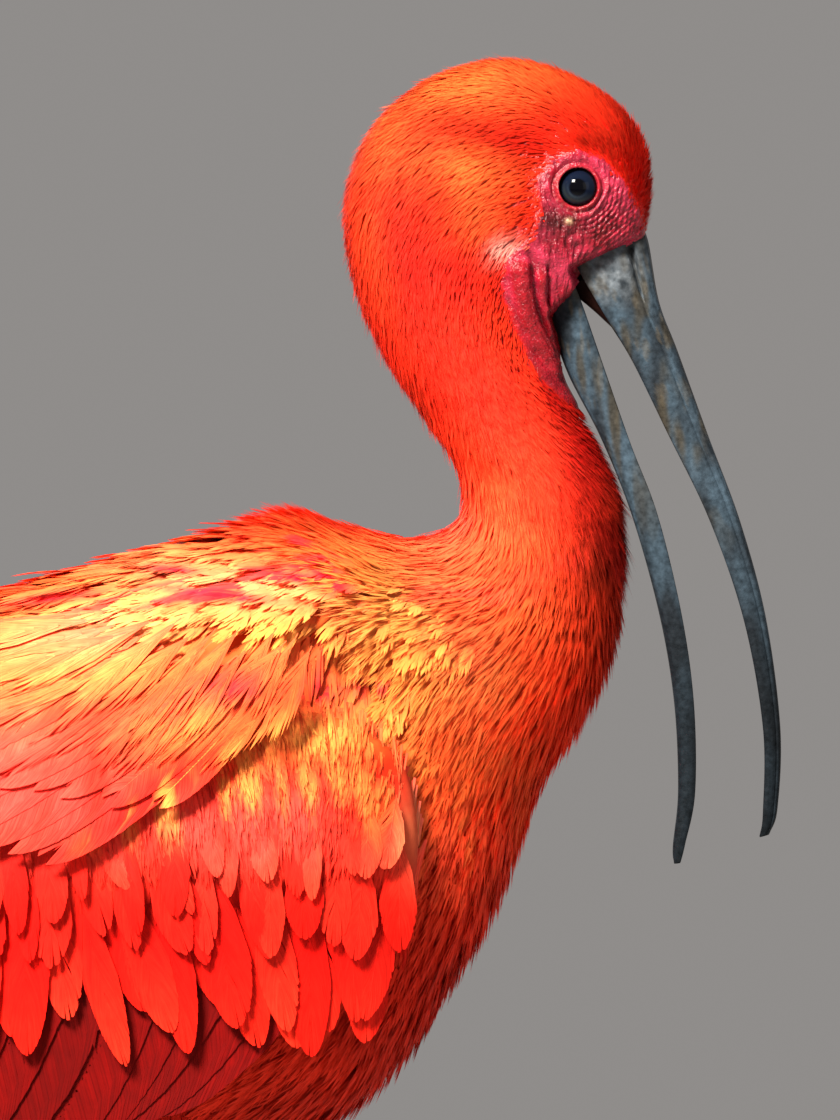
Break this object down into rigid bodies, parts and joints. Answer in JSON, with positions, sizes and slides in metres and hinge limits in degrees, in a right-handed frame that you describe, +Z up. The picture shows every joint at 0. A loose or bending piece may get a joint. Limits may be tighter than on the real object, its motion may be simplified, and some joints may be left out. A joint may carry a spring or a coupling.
{
  "type": "scarlet ibis model",
  "caption": "Life-size scarlet ibis standing still on both feet, neck drawn back, wings folded, long down-curved bill open.",
  "frame": {"origin": "middle of the bounding box at the floor, on the plane of the soles", "axes": "+X the way the bird faces, +Y its left side, +Z up"},
  "size_m": [0.3566, 0.1342, 0.4451],
  "materials": {
    "scarlet_coat": "matte, short soft feathers",
    "scarlet_vanes": "satin feather vanes",
    "bill_slate": "dull horn",
    "eye_dark": "wet gloss",
    "leg_pink": "satin scaly skin",
    "claw_grey": "dull horn"
  },
  "bodies": {
    "root": {"bill_lower": "bill_slate", "bill_upper": "bill_slate", "claw_left_hind": "claw_grey", "claw_left_inner": "claw_grey", "claw_left_middle": "claw_grey", "claw_left_outer": "claw_grey", "claw_right_hind": "claw_grey", "claw_right_inner": "claw_grey", "claw_right_middle": "claw_grey", "claw_right_outer": "claw_grey", "eye_left": "eye_dark", "eye_right": "eye_dark", "foot_left": "leg_pink", "foot_right": "leg_pink", "head": "scarlet_coat", "neck_lower": "scarlet_coat", "neck_upper": "scarlet_coat", "scapulars_left": "scarlet_vanes", "scapulars_right": "scarlet_vanes", "shank_left": "leg_pink", "shank_right": "leg_pink", "tail": "scarlet_vanes", "tarsus_left": "leg_pink", "tarsus_right": "leg_pink", "thigh_left": "scarlet_coat", "thigh_right": "scarlet_coat", "torso": "scarlet_coat", "wing_left": "scarlet_vanes", "wing_right": "scarlet_vanes"}
  },
  "joints": []
}
